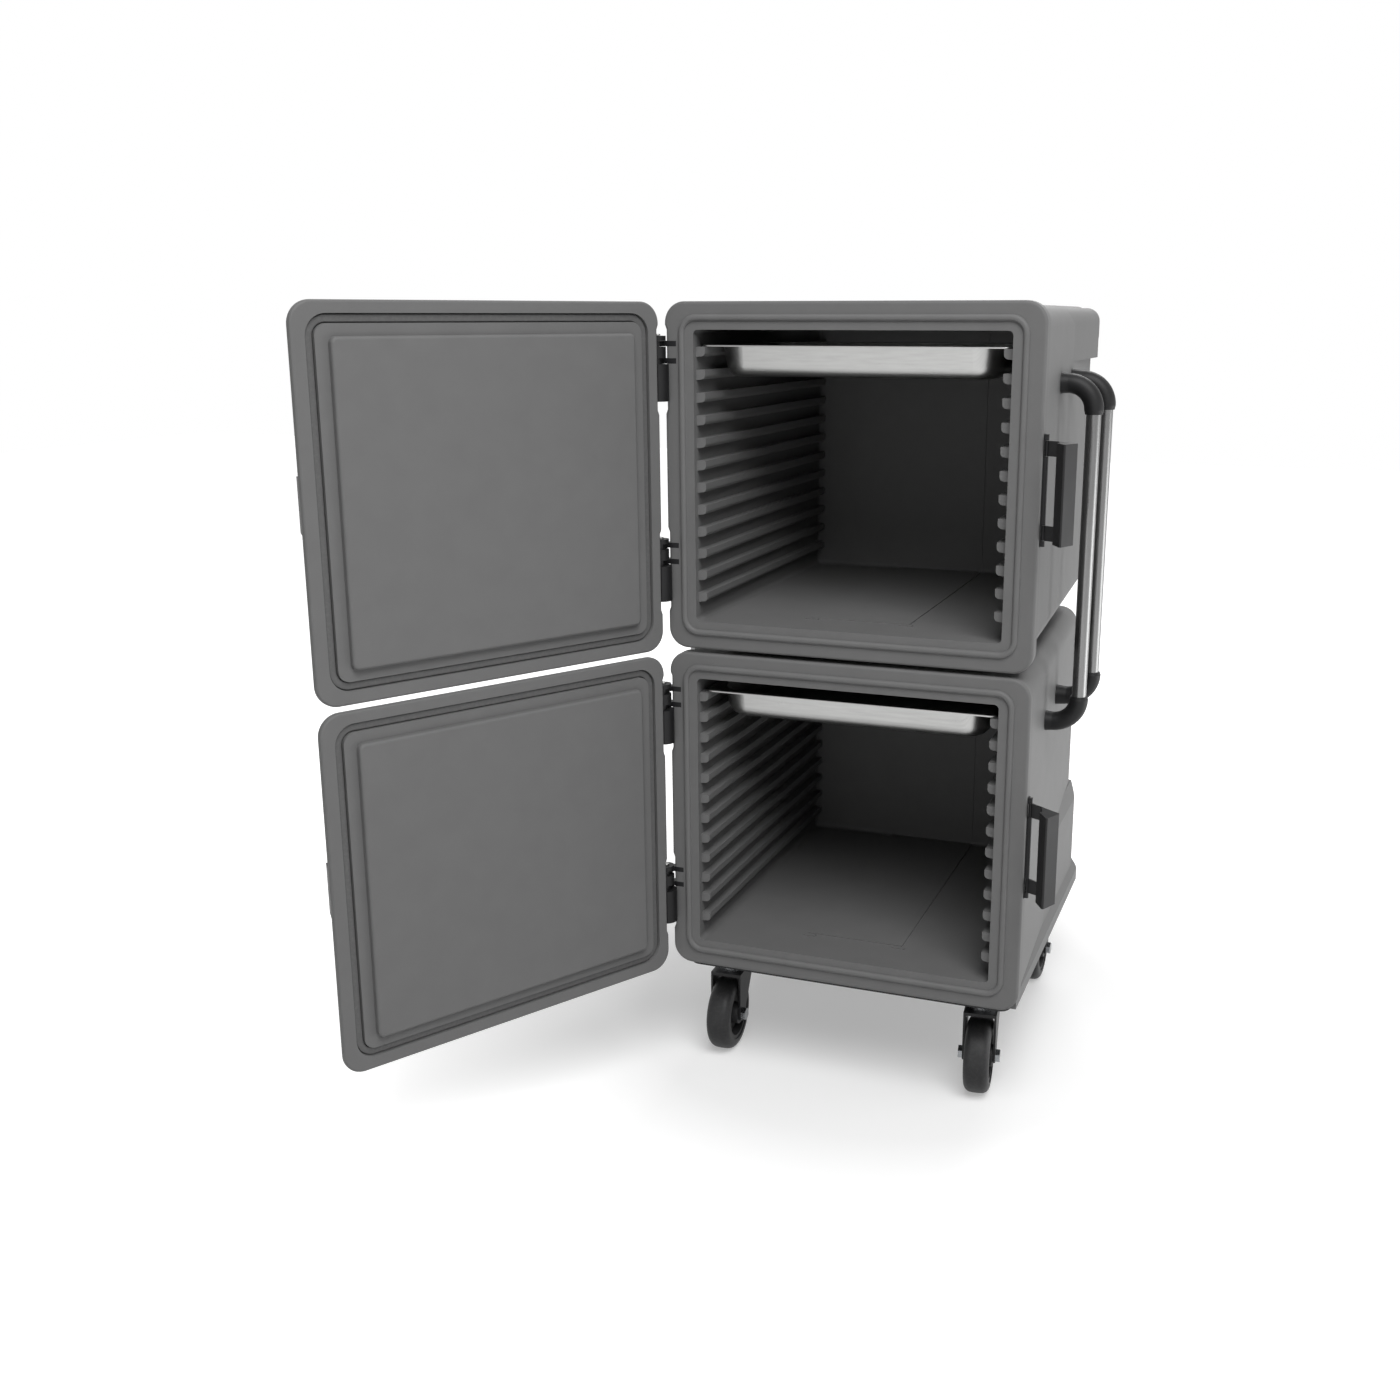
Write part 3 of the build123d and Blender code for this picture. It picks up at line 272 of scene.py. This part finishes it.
def brushed_metal(name, colour, roughness, grain, depth):
    """Bare metal with fine drawn lines; grain holds the line spacing along X, Y and Z."""
    material, tree, shader, place = new_material(name, {"Metallic": 1.0})
    stretched = add(tree, "Mapping", {"Vector": place, "Scale": tuple(1 / g for g in grain)})
    lines = noise(tree, stretched.outputs["Vector"], 1.0, 4.0)
    base = linear(colour)
    colour_between(tree, shader, lines, (0.3, shaded(base, 0.86)), (0.7, base))
    vary_gloss(tree, shader, lines, roughness - 0.08, roughness + 0.1)
    tree.links.new(bumped(tree, lines, 0.15, depth), shader.inputs["Normal"])
    return material


pan_steel = brushed_metal("satin stainless steel sheet", "#a4a4a3", 0.3, PAN_LINES, 0.00003)
bar_aluminium = brushed_metal("satin anodised aluminium tube", "#7c7c7c", 0.28, TUBE_LINES,
                              0.00003)
zinc_plate = brushed_metal("bright zinc-plated steel", "#9b9da0", 0.25, EVEN_GRAIN, 0.00005)
screw_steel = brushed_metal("turned stainless steel", "#8c8c8b", 0.3, EVEN_GRAIN, 0.00003)
print("materials so far:", pan_steel.name, bar_aluminium.name, zinc_plate.name)

# %% Powder coat
GRIT = 0.0012
DRIFT = 0.015

powder_coat, tree, shader, place = new_material(
    "black powder-coated steel", {"Roughness": 0.42, "IOR": 1.5, "Specular IOR Level": 0.3})
grit = noise(tree, place, 1 / GRIT, 2.0)
drift = noise(tree, place, 1 / DRIFT, 3.0)
colour_between(tree, shader, drift, (0.0, linear("#141415")), (1.0, linear("#202022")))
tree.links.new(bumped(tree, grit, 0.3, 0.0001), shader.inputs["Normal"])
print("materials so far:", powder_coat.name)

# %% [markdown]
# ## Finishes on the CAD solids
# Every solid takes one of the finishes by its name. The rule is written once for both
# cabinets and for all four wheels, because their names differ only in their first words.
# Where two endings fit a name, the longer one holds.

# %% Give every solid its finish
FINISHES = {
    "_door_insulation": foam, "_insulation": foam, "_door_seal": seal_rubber,
    "_cabinet": cabinet_plastic, "_rails_left": cabinet_plastic,
    "_rails_right": cabinet_plastic, "_door": cabinet_plastic,
    "_door_keeper": black_nylon, "_door_hinges": black_nylon, "_hinge_brackets": powder_coat,
    "_hinge_pins": pan_steel, "_latch": black_nylon, "_latch_bracket": black_nylon,
    "_latch_pin": pan_steel, "_pan": pan_steel, "_heater_cover": black_nylon,
    "_switch_rocker": switch_plastic, "_power_inlet": black_nylon,
    "_fork": powder_coat, "_race": zinc_plate, "_axle": zinc_plate,
    "_wheel": wheel_plastic, "_tread": tread_rubber,
    "handle_top_elbows": black_nylon, "handle_bottom_elbows": black_nylon,
    "handle_tubes": bar_aluminium, "base_plate": powder_coat,
    "stacking_runners": cabinet_plastic, "swivel_housings": powder_coat,
    "caster_bolts": zinc_plate, "rear_forks": powder_coat, "rear_axles": zinc_plate}

for name in nodes:
    ending = max((e for e in FINISHES if name.endswith(e)), key=len)
    solid = bpy.data.objects[name]
    solid.data.materials.clear()
    solid.data.materials.append(FINISHES[ending])
print("finished solids:", len(nodes))

# %% [markdown]
# ## Rolled pan rims
# A pressed steel pan is cut from thin sheet, and its edge is rolled under so that it doesn't
# cut the hand. The CAD pan has the flat rim, so the roll is one more piece: a small circle
# swept round the rim's outline, which takes in the rim's edge. A curve with a bevel could do
# it, but a mesh built point by point keeps the roll exactly inside the rim's outline, and a
# fifth of a millimetre above the rails below.

# %% A round section swept round a flat outline
def outline_points(low, high, corner, steps=10):
    """Points and outward directions along a rounded rectangle, seen from above."""
    middles = [(high[0] - corner, high[1] - corner), (low[0] + corner, high[1] - corner),
               (low[0] + corner, low[1] + corner), (high[0] - corner, low[1] + corner)]
    points = []
    for quarter, (x, y) in enumerate(middles):
        for step in range(steps + 1):
            a = radians(90 * (quarter + step / steps))
            out = Vector((cos(a), sin(a), 0))
            points.append((Vector((x, y, 0)) + corner * out, out))
    return points


def place_mesh(name, shape, material):
    """A finished bmesh as a smooth-shaded object in the scene."""
    bmesh.ops.recalc_face_normals(shape, faces=shape.faces)
    mesh = bpy.data.meshes.new(name)
    shape.to_mesh(mesh)
    shape.free()
    mesh.polygons.foreach_set("use_smooth", [True] * len(mesh.polygons))
    mesh.materials.append(material)
    piece = bpy.data.objects.new(name, mesh)
    bpy.context.scene.collection.objects.link(piece)
    return piece


def swept_ring(name, points, height, radius, material, sides=12):
    """A closed round bead along the points, with its middle at one height."""
    shape = bmesh.new()
    rings = []
    for point, out in points:
        ring = []
        for side in range(sides):
            a = 2 * pi * side / sides
            ring.append(shape.verts.new(
                point + out * radius * cos(a) + Vector((0, 0, height + radius * sin(a)))))
        rings.append(ring)
    for ring, following in zip(rings, rings[1:] + rings[:1]):
        for side in range(sides):
            after = (side + 1) % sides
            shape.faces.new((ring[side], following[side], following[after], ring[after]))
    return place_mesh(name, shape, material)


# %% Roll both pan rims
RIM_CORNER = 0.012
ROLL = 0.0015
RAIL_GAP = 0.0002

for level in LEVELS:
    low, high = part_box(f"{level}_pan")
    rails_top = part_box(f"{level}_rails_left")[1][2]
    seat = rails_top + RAIL_GAP
    inner_low = Vector((low[0] + ROLL, low[1] + ROLL))
    inner_high = Vector((high[0] - ROLL, high[1] - ROLL))
    edge = outline_points(inner_low, inner_high, RIM_CORNER - ROLL)
    roll = swept_ring(f"{level}_pan_rolled_rim", edge, seat + ROLL, ROLL, pan_steel)
    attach(roll, f"{level}_food_pan")
    print(roll.name, "seat at", round(seat, 4))

# %% [markdown]
# ## Screws
# Low button heads with a hexagon socket hold the hinge straps to the doors and the heater
# covers to the back. Each is turned from one profile, like a part on a lathe: the corner
# points of half its section go round the axis. The socket's points sit on a hexagon instead
# of a circle, which gives the six flats without any cutting.

# %% One screw
SCREW_RADIUS = 0.0045
SCREW_SIDES = 24


def button_screw(name, place, facing):
    """A button head with a hexagon socket, its foot at a place and its top facing out."""
    radius = SCREW_RADIUS
    flats = radius * 0.42
    profile = [(flats * 0.98, radius * 0.12, True), (flats, radius * 0.5, True),
               (radius * 0.55, radius * 0.56, False), (radius * 0.8, radius * 0.42, False),
               (radius * 0.95, radius * 0.2, False), (radius, 0.0, False)]
    turn = Vector(facing).to_track_quat("Z", "Y").to_matrix().to_4x4()
    seat = Matrix.Translation(Vector(place)) @ turn
    shape = bmesh.new()
    rings = []
    for reach, rise, socket in profile:
        ring = []
        for side in range(SCREW_SIDES):
            a = 2 * pi * side / SCREW_SIDES
            off = (a + pi / 6) % (pi / 3) - pi / 6
            r = reach / cos(off) if socket else reach
            ring.append(shape.verts.new(seat @ Vector((r * cos(a), r * sin(a), rise))))
        rings.append(ring)
    for ring, following in zip(rings, rings[1:]):
        for side in range(SCREW_SIDES):
            after = (side + 1) % SCREW_SIDES
            shape.faces.new((ring[side], ring[after], following[after], following[side]))
    shape.faces.new(rings[0])
    shape.faces.new(rings[-1])
    piece = place_mesh(name, shape, screw_steel)
    return piece


# %% Screws in the heater covers
COVER_INSET = 0.016

for level in LEVELS:
    low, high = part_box(f"{level}_heater_cover")
    for i, x in enumerate((low[0] + COVER_INSET, high[0] - COVER_INSET)):
        for k, z in enumerate((low[2] + COVER_INSET, high[2] - COVER_INSET)):
            screw = button_screw(f"{level}_cover_screw_{i}{k}", (x, high[1], z), (0, 1, 0))
            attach(screw, "cart")
print("cover screws: 8")

# %% [markdown]
# The hinge straps lie on the doors' sloped edges, and the doors stand open. The places are
# therefore worked out for a closed door, where the slope is easy to describe, and then
# turned about the hinge pin by the angle that the doors stand open at.

# %% Screws in the hinge straps
OPEN_ANGLE = 118.9
SLOPE_OUT = (-0.8595, -0.5111)
STRAP_MIDDLE = (0.0269, -0.0161)
LEAF_HEIGHT = 0.108
SCREW_RISES = (0.018, 0.054, 0.09)

swing = Matrix.Rotation(radians(-OPEN_ANGLE), 4, "Z")
facing = swing @ Vector((*SLOPE_OUT, 0))
middle = swing @ Vector((*STRAP_MIDDLE, 0))

for level in LEVELS:
    hinge = next(j for j in frame["joints"] if j["name"] == f"{level}_door_hinge")
    pin = Vector(hinge["pos_m"])
    low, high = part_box(f"{level}_door_hinges")
    for i, foot in enumerate((low[2], high[2] - LEAF_HEIGHT)):
        for k, rise in enumerate(SCREW_RISES):
            place = Vector((pin[0] + middle[0], pin[1] + middle[1], foot + rise))
            screw = button_screw(f"{level}_strap_screw_{i}{k}", place, facing)
            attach(screw, f"{level}_door_leaf")
print("strap screws: 12")

# %% [markdown]
# ## Studio
# The photograph is a product picture on white, with a soft grey shadow under the cart. A
# floor that is plain white would throw so much light back up that the cabinets' insides
# would turn pale, so this one is a light grey that glows for camera, mirror and glass rays
# only. Near the cart the glow is weak, so that the shadow shows, and it grows to full white
# a good metre away, where the lamps no longer reach. The world behind it does the same.

# %% What the lens sees
def seen_rays(tree):
    """One for camera, mirror and glass rays, nought for the rays that light other things."""
    rays = add(tree, "LightPath").outputs
    seen = add(tree, "Math", {0: rays["Is Camera Ray"], 1: rays["Is Glossy Ray"]},
               operation="MAXIMUM")
    seen = add(tree, "Math", {0: seen.outputs["Value"], 1: rays["Is Transmission Ray"]},
               operation="MAXIMUM")
    return seen.outputs["Value"]


# %% Floor
PAGE_GREY = "#d8d8d8"
NEAR_GLOW = 0.34
GLOW_STARTS = 0.5
GLOW_FULL = 1.25
FLOOR = 12.0

page, tree, shader, place = new_material(
    "white studio page", {"Base Color": linear(PAGE_GREY), "Roughness": 0.9})
away = add(tree, "VectorMath", {0: place}, operation="LENGTH")
reach = add(tree, "MapRange", {"Value": away.outputs["Value"], "From Min": GLOW_STARTS,
                               "From Max": GLOW_FULL, "To Min": NEAR_GLOW, "To Max": 1.0})
strength = add(tree, "Math", {0: seen_rays(tree), 1: reach.outputs["Result"]},
               operation="MULTIPLY")
glow = add(tree, "Emission", {"Color": (1, 1, 1, 1), "Strength": strength.outputs["Value"]})
both = add(tree, "AddShader", {0: shader.outputs["BSDF"], 1: glow.outputs["Emission"]})
tree.links.new(both.outputs["Shader"], tree.nodes["Material Output"].inputs["Surface"])

sheet = bpy.data.meshes.new("floor")
sheet.from_pydata([(-FLOOR, -FLOOR, 0), (FLOOR, -FLOOR, 0), (FLOOR, FLOOR, 0),
                   (-FLOOR, FLOOR, 0)], [], [(0, 1, 2, 3)])
floor = bpy.data.objects.new("floor", sheet)
bpy.context.scene.collection.objects.link(floor)
sheet.materials.append(page)
print("floor metres across:", 2 * FLOOR)

# %% World
SKY_STRENGTH = 0.1

world = bpy.data.worlds.new("studio")
bpy.context.scene.world = world
world.use_nodes = True
tree = world.node_tree
sky = tree.nodes["Background"]
sky.inputs["Color"].default_value = (1, 1, 1, 1)
sky.inputs["Strength"].default_value = SKY_STRENGTH
white = add(tree, "Background", {"Color": (1, 1, 1, 1), "Strength": 1.0})
pick = add(tree, "MixShader", {0: seen_rays(tree), 1: sky.outputs["Background"],
                               2: white.outputs["Background"]})
tree.links.new(pick.outputs["Shader"], tree.nodes["World Output"].inputs["Surface"])
print("sky strength:", SKY_STRENGTH)

# %% [markdown]
# ## Lamps
# Four soft sources, as in a small studio. The key hangs high in front and to the right: it
# reaches the front of the cabinets' floors but not their back walls, and makes the shadow
# on the page. A weak fill stands low in front. The side light stands close to the cart's
# right side, which is the brightest face in the photograph. The last lights the back, which
# no picture shows, so that it looks right from there as well. Each row below holds a lamp's
# name, its place, the place that it faces, its width in metres and its watts.

# %% Lamps
def soft_box(name, place, target, size, watts):
    """A square area lamp that faces a target and isn't seen itself."""
    lamp = bpy.data.lights.new(name, "AREA")
    lamp.size = size
    lamp.energy = watts
    holder = bpy.data.objects.new(name, lamp)
    holder.location = place
    holder.rotation_euler = (Vector(target) - Vector(place)).to_track_quat("-Z", "Y").to_euler()
    holder.visible_camera = False
    bpy.context.scene.collection.objects.link(holder)


LAMPS = (("key", (1.5, -2.8, 4.4), (-0.1, -0.3, 0.7), 3.0, 215),
         ("fill", (-0.2, -4.4, 0.9), (0, 0, 0.4), 1.6, 8),
         ("side", (2.3, 0.4, 0.3), (0.3, 0, 0.5), 1.4, 24),
         ("back", (0.4, 3.8, 4.2), (0, 0.3, 0.7), 2.4, 90))

for lamp_row in LAMPS:
    soft_box(*lamp_row)
bpy.context.scene.view_settings.view_transform = "Standard"
print("lamps:", ", ".join(row[0] for row in LAMPS))
